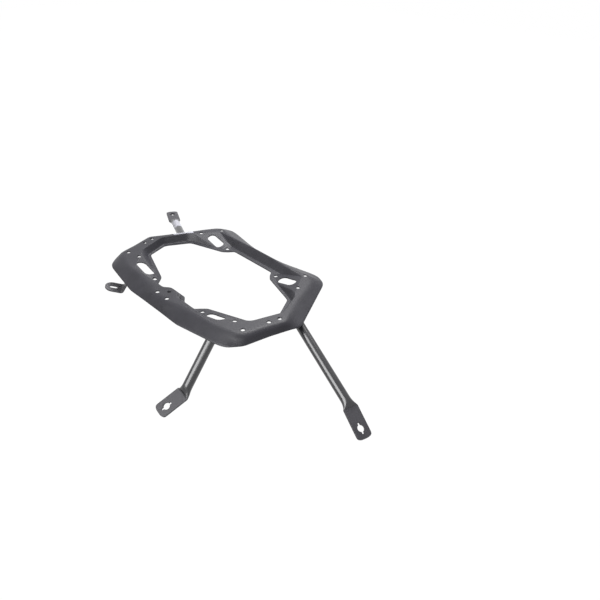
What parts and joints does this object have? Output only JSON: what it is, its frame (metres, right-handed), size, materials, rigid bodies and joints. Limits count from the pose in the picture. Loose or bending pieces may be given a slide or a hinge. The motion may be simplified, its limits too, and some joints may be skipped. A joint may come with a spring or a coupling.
{
  "type": "pannier frame",
  "caption": "Pressed steel ring frame with flattened tube stays and a slotted bracket, which holds a pannier at the side of a motorbike.",
  "frame": {"origin": "centre of the rectangle of the four corner holes, on the plane of the ring's flat crown", "axes": "+X along the ring towards the front stay, +Y across it towards the waist side, +Z out of the ring on its crown side"},
  "size_m": [0.6619, 0.3312, 0.1099],
  "materials": {
    "ring_paint": "satin dark grey powder coat",
    "stay_paint": "glossy dark grey powder coat",
    "bracket_paint": "satin dark grey powder coat",
    "label_film": "blank light film"
  },
  "bodies": {
    "root": {"ring": "ring_paint", "front_stay": "stay_paint", "rear_stay": "stay_paint", "lower_stay": "stay_paint", "bracket": "bracket_paint", "ring_label": "label_film", "stay_label": "label_film"}
  },
  "joints": []
}
